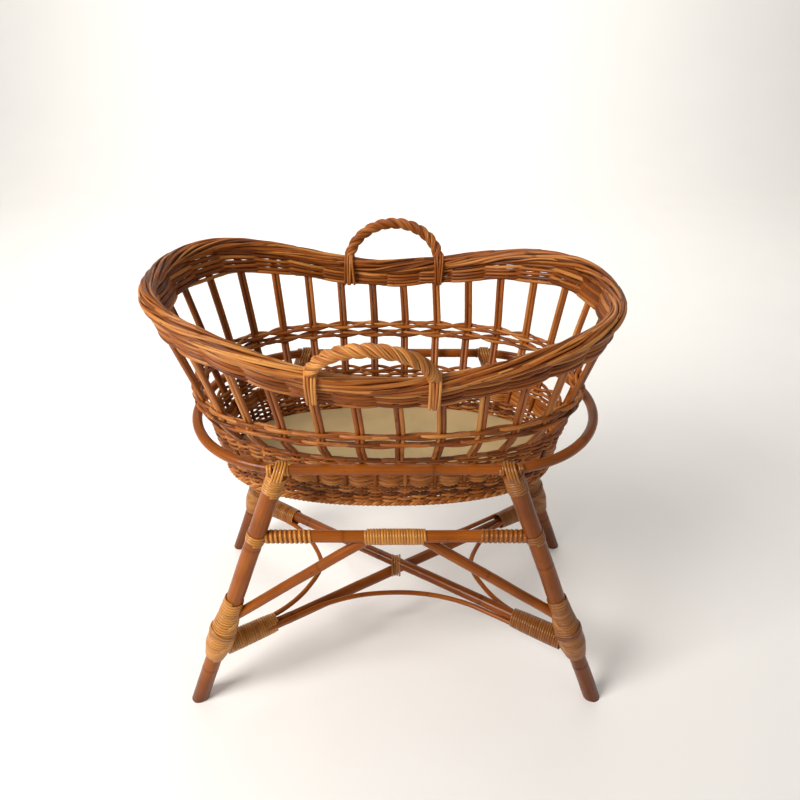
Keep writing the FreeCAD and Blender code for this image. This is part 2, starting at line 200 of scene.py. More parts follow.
class Strands:
    """Rods and strips gathered into one mesh. Each keeps its own unrolled grain space in the
    attribute "rod" (along, round, round) and its own shade in "tone"."""

    def __init__(self, name, seed):
        self.name, self.rng = name, random.Random(seed)
        self.points, self.quads, self.rods, self.tones, self.count = [], [], [], [], 0

    def strand(self, path, out, radius, flat=1.0, sides=8, tone=None, shade=None):
        path = np.asarray(path, float)
        n = len(path)
        out = np.broadcast_to(np.asarray(out, float), path.shape)
        along = unit(np.gradient(path, axis=0))
        face = unit(out - (out * along).sum(1)[:, None] * along)
        side = np.cross(along, face)
        radius = np.broadcast_to(np.asarray(radius, float), (n,)).copy()
        turn = np.linspace(0, 2 * np.pi, sides, endpoint=False)
        c, s = np.cos(turn), np.sin(turn)
        rim = (path[:, None] + face[:, None] * (radius[:, None] * c * flat)[..., None]
               + side[:, None] * (radius[:, None] * s)[..., None])
        run = np.concatenate([[0.0], np.cumsum(np.linalg.norm(np.diff(path, axis=0), axis=1))])
        shift = self.rng.uniform(0, 8000)
        rod = np.stack(np.broadcast_arrays((run + shift)[:, None], radius[:, None] * c,
                                           radius[:, None] * s), -1)
        tone = self.rng.random() if tone is None else tone
        shades = np.full(n, tone) if shade is None else np.clip(tone + shade, 0, 1)
        i = (np.arange(n - 1) * sides)[:, None]
        j = np.arange(sides)
        k = (j + 1) % sides
        quads = np.stack(np.broadcast_arrays(i + j, i + k, i + sides + k, i + sides + j), -1)
        base = self.count
        self.quads.append(quads.reshape(-1, 4) + base)
        points, rods = rim.reshape(-1, 3), rod.reshape(-1, 3)
        tones = np.repeat(shades, sides)
        ends = np.array([path[0] - along[0] * radius[0] * 0.35,
                         path[-1] + along[-1] * radius[-1] * 0.35])
        m = n * sides
        cap = []
        for q in range(0, sides, 2):
            cap.append([base + (q + 2) % sides, base + (q + 1) % sides, base + q, base + m])
            last = base + m - sides
            cap.append([last + q, last + (q + 1) % sides, last + (q + 2) % sides, base + m + 1])
        self.quads.append(np.array(cap))
        self.points += [points, ends]
        self.rods += [rods, np.array([[run[0] + shift, 0, 0], [run[-1] + shift, 0, 0]])]
        self.tones += [tones, shades[[0, -1]]]
        self.count += m + 2

    def build(self, material, body, slot, *nodes):
        mesh = bpy.data.meshes.new(self.name)
        points = np.concatenate(self.points) * MM
        quads = np.concatenate(self.quads)
        mesh.vertices.add(len(points))
        mesh.vertices.foreach_set("co", points.ravel())
        mesh.loops.add(quads.size)
        mesh.loops.foreach_set("vertex_index", quads.ravel().astype(np.int32))
        mesh.polygons.add(len(quads))
        mesh.polygons.foreach_set("loop_start", np.arange(0, quads.size, 4, dtype=np.int32))
        mesh.update(calc_edges=True)
        mesh.shade_smooth()
        rod = mesh.attributes.new("rod", "FLOAT_VECTOR", "POINT")
        rod.data.foreach_set("vector", (np.concatenate(self.rods) * MM).ravel())
        tone = mesh.attributes.new("tone", "FLOAT", "POINT")
        tone.data.foreach_set("value", np.concatenate(self.tones))
        mesh.materials.append(material)
        return place(bpy.data.objects.new(self.name, mesh), body, slot, *nodes)


def place(piece, body, slot, *nodes):
    """Puts a finished piece in the scene, on its body, in place of its CAD nodes."""
    bpy.context.scene.collection.objects.link(piece)
    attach(piece, body)
    if nodes:
        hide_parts(*nodes)
    return piece


def noise(rng, run, wave, amount):
    """Slow wandering along a rod, the same every time."""
    value = np.zeros_like(run)
    for k in (1.0, 2.3, 4.1):
        value += np.sin(run * k * 2 * np.pi / wave + rng.uniform(0, 6.28)) / k
    return value * amount / 1.6


# ---------------------------------------------------------------- materials

def add(tree, kind, settings=None, **links):
    """Adds one node: its settings, then its inputs, from sockets or plain values."""
    node = tree.nodes.new(kind)
    for key, value in (settings or {}).items():
        setattr(node, key, value)
    for key, value in links.items():
        socket = node.inputs[int(key[1:]) if key[1:].isdigit() else key.replace("_", " ")]
        if isinstance(value, bpy.types.NodeSocket):
            tree.links.new(value, socket)
        else:
            socket.default_value = value
    return node


def ramp(tree, source, *stops):
    node = add(tree, "ShaderNodeValToRGB", None, Fac=source)
    row = node.color_ramp.elements
    while len(row) < len(stops):
        row.new(0.5)
    for spot, (where, shade) in zip(row, stops):
        spot.position = where
        spot.color = (*shade, 1.0)
    return node.outputs["Color"]


def start(name):
    material = bpy.data.materials.new(name)
    material.use_nodes = True
    tree = material.node_tree
    return material, tree, tree.nodes["Principled BSDF"]


def rod_grain(tree, along, across, detail=3.0):
    """Noise in the rod's own unrolled space: fine across the rod, long down it."""
    rod = add(tree, "ShaderNodeAttribute", {"attribute_name": "rod"})
    scaled = add(tree, "ShaderNodeVectorMath", {"operation": "MULTIPLY"}, _0=rod.outputs["Vector"],
                 _1=(along, across, across))
    grain = add(tree, "ShaderNodeTexNoise", {"noise_dimensions": "3D"}, Vector=scaled.outputs[0],
                Scale=1.0, Detail=detail, Roughness=0.6)
    return grain.outputs["Fac"]


def mix(tree, kind, fac, a, b):
    node = add(tree, "ShaderNodeMix", {"data_type": "RGBA", "blend_type": kind}, _0=fac)
    for socket, value in ((node.inputs[6], a), (node.inputs[7], b)):
        if isinstance(value, bpy.types.NodeSocket):
            tree.links.new(value, socket)
        else:
            socket.default_value = (*value, 1.0)
    return node.outputs[2]


def maths(tree, operation, a, b=0.0, c=0.0):
    return add(tree, "ShaderNodeMath", {"operation": operation}, _0=a, _1=b, _2=c).outputs[0]


def varnished_willow():
    """Buff willow rod, boiled red-brown and varnished: every rod its own shade, with long
    streaks, dark leaf scars and a thin uneven gloss along its back."""
    c = bpy.context.scene.bassinet_colours
    material, tree, shader = start("buff_willow_varnished")
    tone = add(tree, "ShaderNodeAttribute", {"attribute_name": "tone"}).outputs["Fac"]
    streak = rod_grain(tree, 14.0, 420.0)
    patch = rod_grain(tree, 9.0, 40.0, 2.0)
    value = maths(tree, "MULTIPLY_ADD", streak, 0.5, maths(tree, "MULTIPLY", tone, 0.66))
    value = maths(tree, "MULTIPLY_ADD", patch, 0.4, maths(tree, "SUBTRACT", value, 0.3))
    body = ramp(tree, value, (0.08, c.willow_dark), (0.45, c.willow_mid), (0.85, c.willow_light))
    scar = rod_grain(tree, 34.0, 120.0, 2.0)
    scar = ramp(tree, scar, (0.27, (0.32, 0.22, 0.16)), (0.36, (1, 1, 1)))
    tree.links.new(mix(tree, "MULTIPLY", 0.8, body, scar), shader.inputs["Base Color"])
    rough = maths(tree, "MULTIPLY_ADD", streak, 0.3, 0.3)
    tree.links.new(rough, shader.inputs["Roughness"])
    shader.inputs["Specular IOR Level"].default_value = 0.22
    shader.inputs["Coat Weight"].default_value = 0.12
    shader.inputs["Coat Roughness"].default_value = 0.25
    bump = add(tree, "ShaderNodeBump", None, Strength=0.35, Distance=0.0004, Height=streak)
    tree.links.new(bump.outputs[0], shader.inputs["Normal"])
    return material


def varnished_rattan():
    """Peeled rattan pole, steam-bent and varnished: fine long fibres under a glossy honey coat,
    darker where a growth ring crosses it, and darker towards a leg's foot by painted shade carried
    in the tone."""
    c = bpy.context.scene.bassinet_colours
    material, tree, shader = start("rattan_pole_varnished")
    tone = add(tree, "ShaderNodeAttribute", {"attribute_name": "tone"}).outputs["Fac"]
    fibre = rod_grain(tree, 5.0, 330.0, 4.0)
    cloud = rod_grain(tree, 11.0, 30.0, 3.0)
    value = maths(tree, "MULTIPLY_ADD", fibre, 0.4, maths(tree, "MULTIPLY", tone, 0.6))
    value = maths(tree, "MULTIPLY_ADD", cloud, 0.45, maths(tree, "SUBTRACT", value, 0.27))
    body = ramp(tree, value, (0.05, c.pole_dark), (0.5, c.pole_mid), (0.9, c.pole_light))
    fleck = rod_grain(tree, 60.0, 500.0, 2.0)
    fleck = ramp(tree, fleck, (0.26, (0.35, 0.22, 0.14)), (0.33, (1, 1, 1)))
    tree.links.new(mix(tree, "MULTIPLY", 0.7, body, fleck), shader.inputs["Base Color"])
    tree.links.new(maths(tree, "MULTIPLY_ADD", cloud, 0.3, 0.2), shader.inputs["Roughness"])
    shader.inputs["Specular IOR Level"].default_value = 0.18
    shader.inputs["Coat Weight"].default_value = 0.14
    shader.inputs["Coat Roughness"].default_value = 0.14
    bump = add(tree, "ShaderNodeBump", None, Strength=0.2, Distance=0.0004, Height=fibre)
    tree.links.new(bump.outputs[0], shader.inputs["Normal"])
    return material


def glossy_cane():
    """Rattan cane: the split outer bark, wound wet and varnished, so its face is pale, hard and
    glossy."""
    c = bpy.context.scene.bassinet_colours
    material, tree, shader = start("rattan_cane_binding")
    tone = add(tree, "ShaderNodeAttribute", {"attribute_name": "tone"}).outputs["Fac"]
    fibre = rod_grain(tree, 12.0, 700.0)
    cloud = rod_grain(tree, 16.0, 60.0, 2.0)
    value = maths(tree, "MULTIPLY_ADD", fibre, 0.4, maths(tree, "MULTIPLY", tone, 0.5))
    value = maths(tree, "MULTIPLY_ADD", cloud, 0.4, maths(tree, "SUBTRACT", value, 0.15))
    body = ramp(tree, value, (0.15, c.cane_dark), (0.75, c.cane_light))
    tree.links.new(body, shader.inputs["Base Color"])
    tree.links.new(maths(tree, "MULTIPLY_ADD", fibre, 0.25, 0.2), shader.inputs["Roughness"])
    shader.inputs["Specular IOR Level"].default_value = 0.28
    shader.inputs["Coat Weight"].default_value = 0.3
    shader.inputs["Coat Roughness"].default_value = 0.15
    bump = add(tree, "ShaderNodeBump", None, Strength=0.25, Distance=0.0003, Height=fibre)
    tree.links.new(bump.outputs[0], shader.inputs["Normal"])
    return material


def sawn_hardboard():
    """Thin khaki hardboard: pressed fibres, matte, with faint darker clouds and scuffs."""
    c = bpy.context.scene.bassinet_colours
    material, tree, shader = start("hardboard_matte")
    where = add(tree, "ShaderNodeTexCoord").outputs["Object"]
    fibre = add(tree, "ShaderNodeTexNoise", None, Vector=where, Scale=900.0, Detail=4.0)
    cloud = add(tree, "ShaderNodeTexNoise", None, Vector=where, Scale=14.0, Detail=3.0)
    value = maths(tree, "MULTIPLY_ADD", fibre.outputs["Fac"], 0.4, 0.1)
    value = maths(tree, "MULTIPLY_ADD", cloud.outputs["Fac"], 0.6, value)
    pale = [min(1.0, v * 1.16) for v in c.board]
    deep = [v * 0.72 for v in c.board]
    body = ramp(tree, value, (0.3, deep), (0.6, list(c.board)), (0.85, pale))
    tree.links.new(body, shader.inputs["Base Color"])
    shader.inputs["Roughness"].default_value = 0.75
    bump = add(tree, "ShaderNodeBump", None, Strength=0.3, Distance=0.0003,
               Height=fibre.outputs["Fac"])
    tree.links.new(bump.outputs[0], shader.inputs["Normal"])
    return material


def drawn_steel():
    """Drawn wire nail: grey, brushed along its length."""
    material, tree, shader = start("steel_nail_drawn")
    where = add(tree, "ShaderNodeTexCoord").outputs["Object"]
    grain = add(tree, "ShaderNodeTexNoise", None, Vector=where, Scale=2500.0, Detail=2.0)
    body = ramp(tree, grain.outputs["Fac"], (0.3, linear("#77787A")), (0.7, linear("#A6A7A9")))
    tree.links.new(body, shader.inputs["Base Color"])
    shader.inputs["Metallic"].default_value = 1.0
    shader.inputs["Roughness"].default_value = 0.4
    return material


def painted_floor():
    """Plain pale matte paint, barely uneven."""
    c = bpy.context.scene.bassinet_colours
    material, tree, shader = start("studio_floor_matte")
    where = add(tree, "ShaderNodeTexCoord").outputs["Object"]
    cloud = add(tree, "ShaderNodeTexNoise", None, Vector=where, Scale=3.0, Detail=2.0)
    deep = [v * 0.985 for v in c.floor]
    body = ramp(tree, cloud.outputs["Fac"], (0.3, deep), (0.7, list(c.floor)))
    tree.links.new(body, shader.inputs["Base Color"])
    shader.inputs["Roughness"].default_value = 0.8
    return material


FINISHES = {"willow": varnished_willow, "pole": varnished_rattan, "cane": glossy_cane,
            "board": sawn_hardboard, "steel": drawn_steel, "floor": painted_floor}
MADE = {}


def finish(name):
    if name not in MADE:
        MADE[name] = FINISHES[name]()
    return MADE[name]


# ---------------------------------------------------------------- stand

HOOP_Z = 571.0
HOOP_BEND = 200.0
HOOP_STRAIGHT = 166.0
RAIL_Z = 428.0
SIDE_RAIL_Z = 443.7
BRACE_LOW_Z = 222.0
CROSS_LOWER_Z = 138.0
CROSS_UPPER_Z = 160.2
BOW_Z = 149.0
FOOT = np.array([400.0, 218.0, 0.0])
TOP = np.array([190.0, 200.0, HOOP_Z])
CORNERS = {"front_left": (-1, -1), "front_right": (1, -1), "rear_left": (-1, 1),
           "rear_right": (1, 1)}


def leg_axis(sx, sy, z):
    p = FOOT + (TOP - FOOT) * (z / TOP[2])
    return p * (sx, sy, 1)


def pole(name, path, radius, out, seed, node, tone=0.5, knots=260.0,
         swell=0.02, sides=20, wander=0.6, foot_shade=0.0):
    """One rattan pole: nearly straight, with growth rings that swell and darken. Its first end is
    darkened by painted shade."""
    bundle = Strands(name, seed)
    path = np.asarray(path, float)
    run = np.concatenate([[0.0], np.cumsum(np.linalg.norm(np.diff(path, axis=0), axis=1))])
    out = np.broadcast_to(np.asarray(out, float), path.shape)
    along = unit(np.gradient(path, axis=0))
    side = np.cross(along, out)
    hold = np.minimum(1.0, np.minimum(run, run[-1] - run) / 60.0)[:, None]
    path = path + out * noise(bundle.rng, run, 420, wander)[:, None] * hold
    path = path + side * noise(bundle.rng, run, 390, wander)[:, None] * hold
    thick = radius * (1 + noise(bundle.rng, run, 300, 0.012))
    # foot_shade is painted shade: the pole grows darker towards its first end, the foot of a leg
    shade = noise(bundle.rng, run, 240, 0.10) - foot_shade * np.exp(-run / 90.0)
    spot = bundle.rng.uniform(0.3, 0.8) * knots
    while spot < run[-1] - 20:
        near = (run - spot) / 5.0
        thick += radius * swell * np.exp(-near ** 2)
        thick -= radius * swell * 0.6 * np.exp(-((run - spot - 6.0) / 2.2) ** 2)
        shade -= 0.25 * np.exp(-((run - spot - 5.0) / 2.6) ** 2)
        spot += knots * bundle.rng.uniform(0.75, 1.25)
    bundle.strand(path, out, thick, sides=sides, tone=tone, shade=shade)
    return bundle.build(finish("pole"), "stand", "rattan_pole", node)


def straight(a, b, step=2.5):
    count = max(2, int(np.linalg.norm(b - a) / step))
    return a + (b - a) * np.linspace(0, 1, count)[:, None]


def cut_foot(piece, z=0.0):
    """Cuts the pole flat where it stands."""
    mesh = piece.data
    co = np.empty(len(mesh.vertices) * 3)
    mesh.vertices.foreach_get("co", co)
    co = co.reshape(-1, 3)
    low = co[:, 2] < z
    co[low, 2] = z
    mesh.vertices.foreach_set("co", co.ravel())
    mesh.update()


def wind(bundle, centre, along, radius, turns, width, thick, out, sides=6, per_turn=26,
         tone=None, phase=0.0):
    """Winds one cane strip round a centre line: radius may change down the line."""
    count = max(8, int(turns * per_turn))
    k = np.linspace(0, 1, count)
    step = np.linspace(0, len(centre) - 1, count)
    line = np.stack([np.interp(step, np.arange(len(centre)), centre[:, i]) for i in range(3)], 1)
    r = np.interp(k, np.linspace(0, 1, len(np.atleast_1d(radius))), np.atleast_1d(radius))
    e = unit(np.asarray(out, float) - np.dot(out, along) * np.asarray(along))
    f = np.cross(along, e)
    angle = phase + 2 * np.pi * turns * k
    radial = np.cos(angle)[:, None] * e + np.sin(angle)[:, None] * f
    path = line + radial * (r + thick * 0.5)[:, None]
    bundle.strand(path, radial, width / 2.0, flat=thick / width, sides=sides, tone=tone,
                  shade=noise(bundle.rng, angle, 31.0, 0.16))


def loop_round(bundle, centre, u, v, ru, rv, width, thick, tone=None, count=44, power=2.0):
    """One flat strip in a closed loop round a joint, in the plane of u and v."""
    t = np.linspace(0, 2 * np.pi * 1.02, count)
    c, s = (np.sign(w) * np.abs(w) ** (2.0 / power) for w in (np.cos(t), np.sin(t)))
    radial = c[:, None] * unit(u) * ru + s[:, None] * unit(v) * rv
    bundle.strand(np.asarray(centre) + radial, radial, width / 2.0, flat=thick / width, sides=6,
                  tone=tone)


class BASSINET_OT_poles(Operator):
    """Build the legs, hoop, rails, braces, stretchers and bows of the stand"""
    bl_idname = "bassinet.poles"
    bl_label = "Build poles"

    def execute(self, context):
        s = context.scene.bassinet_stand
        up = np.array([0.0, 0.0, 1.0])
        for i, (name, (sx, sy)) in enumerate(CORNERS.items()):
            low, high = leg_axis(sx, sy, -6.0), leg_axis(sx, sy, HOOP_Z - 6.0)
            # The per-corner leg tones are painted light and shade: the front left leg is paler as
            # if lit, and the other legs are darker as if in shade
            piece = pole("leg_" + name + "_pole", straight(low, high), s.leg / MM, (0, sy, 0),
                         11 + i, node="leg_" + name, tone=(0.55, 0.3, 0.35, 0.25)[i], knots=290,
                         foot_shade=0.45)
            cut_foot(piece)
        t = np.linspace(-np.pi / 2, np.pi / 2, 90)
        right = np.stack([HOOP_STRAIGHT + HOOP_BEND * np.cos(t), HOOP_BEND * np.sin(t),
                          np.full(90, HOOP_Z)], 1)
        left = right[::-1] * (-1, 1, 1)
        back = straight(right[-1], left[0], 5)[1:-1]
        front = straight(left[-1], right[0], 5)[1:]
        ring = np.concatenate([right, back, left, front])
        ring = np.concatenate([ring, ring[:4]])
        ring = np.roll(ring[:-4], -len(right) - 12, axis=0)
        ring = np.concatenate([ring, ring[:6]])
        pole("hoop_pole", ring, s.hoop / MM, up, 21, node="hoop", tone=0.42, knots=330,
             wander=0.4, swell=0.03)
        for side, sy, seed in (("front", -1, 31), ("rear", 1, 32)):
            a, b = leg_axis(-1, sy, RAIL_Z), leg_axis(1, sy, RAIL_Z)
            pole("rail_" + side + "_pole", straight(a, b), s.rail / MM, up, seed,
                 node="rail_" + side, tone=0.58)
            for hand, sx in (("left", -1), ("right", 1)):
                top = np.array([sx * 40.0, a[1], RAIL_Z])
                low = leg_axis(sx, sy, BRACE_LOW_Z)
                pole("brace_" + side + "_" + hand + "_pole", straight(top, low), s.brace / MM,
                     (0, sy, 0), seed + 4 + sx, node="brace_" + side + "_" + hand, tone=0.5)
        for hand, sx, seed in (("left", -1, 41), ("right", 1, 42)):
            a, b = leg_axis(sx, -1, SIDE_RAIL_Z), leg_axis(sx, 1, SIDE_RAIL_Z)
            pole("rail_" + hand + "_pole", straight(a, b), s.side_rail / MM, up, seed,
                 node="rail_" + hand, tone=0.45, swell=0.0, wander=0.0)
        for name, z, sy, seed in (("lower", CROSS_LOWER_Z, 1, 51),
                                   ("upper", CROSS_UPPER_Z, -1, 52)):
            a, b = leg_axis(-1, -sy, z), leg_axis(1, sy, z)
            pole("cross_" + name + "_pole", straight(a, b), s.cross / MM, up, seed,
                 node="cross_" + name, tone=0.25, swell=0.02)
        long_bow = [(338.7, 224.0), (253.4, 171.8), (195.0, 136.0), (144.0, 107.0),
                    (75.0, 85.0), (0.0, 78.0)]
        side_bow = [(351.7, 202.6), (275.0, 155.7), (222.0, 113.0), (186.0, 62.0), (165.0, 0.0)]
        for name, half, sx, sy in (("front", long_bow, 1, -1), ("rear", long_bow, 1, 1),
                                   ("left", side_bow, -1, 1), ("right", side_bow, 1, 1)):
            flip = (-1, 1) if name in ("front", "rear") else (1, -1)
            row = half + [(x * flip[0], y * flip[1]) for x, y in reversed(half[:-1])]
            row = [(sx * x, sy * y, BOW_Z) for x, y in row]
            pole("bow_" + name + "_pole", smooth(row, 260), s.bow / MM, up, 60 + len(name),
                 node="bow_" + name, tone=0.55, sides=12, wander=0.3, knots=180)
        return {"FINISHED"}


class BASSINET_OT_cane(Operator):
    """Wind the cane bindings over every joint of the stand"""
    bl_idname = "bassinet.cane"
    bl_label = "Wind cane bindings"

    def execute(self, context):
        s = context.scene.bassinet_stand
        width, thick = s.cane_width / MM, s.cane_thick / MM
        marks = np.array([134.0, 148.0, 172.0, 205.0, 250.0, 300.0])
        barrel = np.array([16.6, 20.0, 24.6, 24.2, 19.4, 16.4])
        lower = Strands("lower_joint_cane", 101)
        ends = Strands("stretcher_end_cane", 102)
        hoops = Strands("hoop_joint_cane", 103)
        rails = Strands("rail_end_cane", 104)
        up = np.array([0.0, 0.0, 1.0])
        for i, (name, (sx, sy)) in enumerate(CORNERS.items()):
            # pale is a per-corner painted light and shade tone: the front left bindings are pale
            # as if lit, and the other corners are darkened as if in shade
            pale = (0.7, 0.05, 0.3, 0.1)[i]
            a = leg_axis(sx, sy, 0.0)
            along = unit(leg_axis(sx, sy, HOOP_Z) - a)
            spots = np.linspace(137, 297, 60)
            line = a + along * spots[:, None]
            wide = 6.6
            wind(lower, line, along, np.interp(spots, marks, barrel), 160 / (wide * 0.97), wide,
                 1.9, (0, sy, 0), tone=pale, sides=8, per_turn=36, phase=i)
            inward = unit(np.array([-sx * 0.853, -sy * 0.522, 0.0]))
            across = np.cross(along, inward)
            for centre, lean, grow, shade in ((236.0, 0.75, 1.4, 0.3), (206.0, -0.6, 1.6, -0.25),
                                              (178.0, 0.5, 1.6, 0.2)):
                tilt = unit(inward + along * lean)
                hug = np.interp(centre, marks, barrel) + grow
                for k in (-0.5, 0.5):
                    spot = a + along * (centre + k * 6.4)
                    loop_round(lower, spot, across, tilt, hug, hug * math.hypot(1, lean) * 0.94,
                               6.4, 1.7, tone=pale + shade)
            z = CROSS_LOWER_Z if sx * sy > 0 else CROSS_UPPER_Z
            p = leg_axis(sx, sy, z)
            heart = np.array([p[0], p[1], (z + BOW_Z) / 2.0])
            line = heart + inward * np.linspace(20, 124, 30)[:, None]
            wind(ends, line, inward, [19.4, 19.6, 19.2, 18.6, 17.2], 104 / 4.7, 4.8, 1.7,
                 (0, 0, 1), tone=pale - 0.15, phase=i * 2, per_turn=30)
            top = leg_axis(sx, sy, HOOP_Z)
            line = top - along * np.linspace(48, 9, 16)[:, None]
            wind(hoops, line, along, 16.2, 39 / 5.0, width, thick, (0, sy, 0), phase=i,
                 tone=pale)
            for d0, d1 in ((-18.0, -9.0), (9.0, 18.0)):
                line = top + np.linspace(d0, d1, 8)[:, None] * np.array([1.0, 0, 0])
                wind(hoops, line, (1, 0, 0), 9.0, 2, width, thick, (0, 0, 1), phase=i,
                     tone=pale)
            for k in (-1.5, -0.5, 0.5, 1.5):
                centre = top - along * 7.0 + np.array([k * 4.9, 0, 0])
                loop_round(hoops, centre, (0, 1, 0), along, 18.9 - abs(k) * 0.8, 19.4, 4.8, 1.5,
                           tone=pale + 0.1)
            y = leg_axis(1, sy, RAIL_Z)[1]
            x0 = leg_axis(1, 1, RAIL_Z)[0]
            line = np.array([(sx * x, y, RAIL_Z) for x in np.linspace(x0 - 17, x0 - 96, 30)])
            wind(rails, line, (1, 0, 0), 11.0, 9.5, width, thick, (0, 0, 1), phase=sx,
                 tone=pale)
            line = np.array([leg_axis(sx, sy, z) for z in np.linspace(419, 438, 8)])
            wind(rails, line, along, 16.2, 3.7, width, thick, (0, sy, 0), tone=pale)
            p = leg_axis(sx, sy, SIDE_RAIL_Z)
            line = p - np.linspace(18, 52, 12)[:, None] * np.array([0, sy, 0])
            wind(rails, line, (0, 1, 0), 10.8, 4, width, thick, (1, 0, 0), tone=0.3)
        lower.build(finish("cane"), "stand", "cane", "wrap_lower_joints")
        ends.build(finish("cane"), "stand", "cane", "wrap_cross_ends")
        hoops.build(finish("cane"), "stand", "cane", "wrap_hoop_joints")
        rails.build(finish("cane"), "stand", "cane", "wrap_rail_ends")
        centres = Strands("rail_centre_cane", 105)
        for sy in (-1, 1):
            y = leg_axis(1, sy, RAIL_Z)[1]
            line = np.array([(x, y, RAIL_Z - 1.0) for x in np.linspace(-52, 52, 30)])
            wind(centres, line, (1, 0, 0), [12.5, 13.2, 13.0, 13.2, 12.5], 104 / 4.9, width,
                 thick, (0, 0, 1), tone=0.6)
        centres.build(finish("cane"), "stand", "cane", "wrap_rail_centres")
        knot = Strands("stretcher_centre_cane", 106)
        for k in (-1.5, -0.5, 0.5, 1.5):
            loop_round(knot, (k * 5.1, 0, 149.1), (0, 1, 0), up, 13.6 + abs(k) * 3.1, 23.0, 5.1,
                       1.6, tone=0.2 + 0.1 * k, count=60, power=3.0)
        knot.build(finish("cane"), "stand", "cane", "wrap_cross_centre")
        return {"FINISHED"}


class BASSINET_OT_nails(Operator):
    """Give the hidden nails their drawn steel finish"""
    bl_idname = "bassinet.nails"
    bl_label = "Finish nails"

    def execute(self, context):
        for name in ("nails_hoop", "nails_rails", "nails_braces", "nails_stretchers"):
            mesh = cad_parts[name].data
            mesh.materials.clear()
            mesh.materials.append(finish("steel"))
        return {"FINISHED"}


# ---------------------------------------------------------------- basket

def weave_row(bundle, level, amount, period, phase, radius, s0, lift=0.0, lift_phase=0.0,
              lean=0.0, sides=7, tone=None, per=9, wobble=0.35, crowd=0.0, ends=0.0):
    """One weaver all the way round: in and out past the stakes, its ends tucked inside. It may
    be thicker round the two ends of the oval."""
    count = int(period * per) + 1
    s = s0 + np.linspace(0, 1.004, count)
    p, n = oval(level, station(s, crowd))
    wave = np.cos(np.pi * period * s + phase)
    wave = np.sign(wave) * np.abs(wave) ** 0.75
    run = s * 2000.0
    out = amount * wave + lean + noise(bundle.rng, run, 310, wobble)
    out[:3] -= 2.0
    out[-3:] -= 2.0
    rise = lift * np.sin(np.pi * period * s + lift_phase) + noise(bundle.rng, run, 270, wobble)
    path = p + n * out[:, None]
    path[:, 2] += rise
    thick = radius * (1 + ends * n[:, 0] ** 2 + noise(bundle.rng, run, 500, 0.07))
    bundle.strand(path, n, thick, sides=sides, tone=tone,
                  shade=noise(bundle.rng, run, 330, 0.14))


class BASSINET_OT_bottom(Operator):
    """Weave the bottom: sticks, weavers and the twisted foot border"""
    bl_idname = "bassinet.bottom"
    bl_label = "Weave bottom"

    def execute(self, context):
        z = 462.4
        middle = (BASE[4] + BASE[5]) / 2.0
        a, b = (BASE[5] - BASE[4]) / 2.0 - 7.0, BASE[3] - 7.0
        sticks = Strands("bottom_sticks", 201)
        for i in range(-5, 6):
            x = i * 52.0
            y = b * (1 - abs(x / a) ** 2.3) ** (1 / 2.3)
            path = straight(np.array([middle + x, -y, z]), np.array([middle + x, y, z]), 12)
            sticks.strand(path, (0, 0, 1), 3.6, tone=0.35)
        for y in (-60.0, 0.0, 60.0):
            x = a * (1 - abs(y / b) ** 2.3) ** (1 / 2.3)
            path = straight(np.array([middle - x, y, z]), np.array([middle + x, y, z]), 12)
            sticks.strand(path, (0, 0, 1), 3.0, tone=0.4)
        sticks.build(finish("willow"), "basket", "willow", "base_sticks")
        weave = Strands("bottom_weave", 202)
        rows = int(2 * b / 4.7)
        for j in range(rows):
            y = -b + 3.0 + (2 * b - 6.0) * j / (rows - 1)
            x = a * max(0.0, 1 - abs(y / b) ** 2.3) ** (1 / 2.3)
            if x < 20:
                continue
            xs = np.arange(-x, x, 6.5)
            wave = 3.3 * np.cos(np.pi * xs / 52.0 + np.pi * (j % 2))
            path = np.stack([middle + xs, np.full_like(xs, y), z + wave], 1)
            weave.strand(path, (0, 0, 1), 2.25, sides=6)
        weave.build(finish("willow"), "basket", "willow", "base_weave")
        foot = Strands("foot_border_rods", 203)
        s = np.linspace(0, 1.002, 620)
        level = (461.4, 0.0, 0.0, BASE[3], BASE[4], BASE[5], BASE[6])
        p, n = oval(level, s)
        for k in range(4):
            angle = 2 * np.pi * (46 * s + k / 4.0)
            path = p + n * (5.2 * np.cos(angle))[:, None]
            path[:, 2] += 2.7 * np.sin(angle)
            foot.strand(path, n, 2.9, tone=(0.5, 0.8, 0.35, 0.65)[k],
                        shade=noise(foot.rng, s * 1500, 200, 0.15))
        # A dark core rod of tone 0.1: painted shade filling the gaps between the twisted foot rods
        foot.strand(p, n, 3.4, tone=0.1, sides=6)
        foot.build(finish("willow"), "basket", "willow", "foot_border")
        return {"FINISHED"}


class BASSINET_OT_stakes(Operator):
    """Set the double stakes from the bottom to the rim"""
    bl_idname = "bassinet.stakes"
    bl_label = "Set stakes"

    def execute(self, context):
        g = context.scene.bassinet_basket
        bundle = Strands("stake_rods", 301)
        rod = g.stake / MM
        for k in range(g.stakes):
            sway = bundle.rng.uniform(-1.2, 1.2)
            out = oval(MID_LOW, [k / g.stakes])[1][0]
            for half in (-1, 1):
                tone = min(1.0, max(0.0, bundle.rng.gauss(0.36, 0.17)))
                foot = [oval(level, [station(k / g.stakes) + half / 120.0])[0][0]
                        for level in (BASE, WEAVE_TOP)]
                foot[0][2] += 4.0
                foot[1] = foot[0] + (foot[1] - foot[0]) * LOW_SHARE
                bundle.strand(straight(*foot, 4), out, rod, sides=8, tone=tone)
                row = []
                for i, level in enumerate([between(BASE, WEAVE_TOP, TUCK_SHARE)] + LEVELS[1:]):
                    p, n = oval(level, [station(k / g.stakes, CROWD[i])])
                    way = np.array([-n[0][1], n[0][0], 0.0])
                    row.append(p[0] + way * (half * rod * 0.98 + sway * 0.2 * i))
                thick = rod * np.linspace(1.06, 0.99, 56)
                bundle.strand(smooth(row, 56), out, thick, sides=10, tone=tone)
        bundle.build(finish("willow"), "basket", "willow", "stakes", "low_stakes")
        return {"FINISHED"}


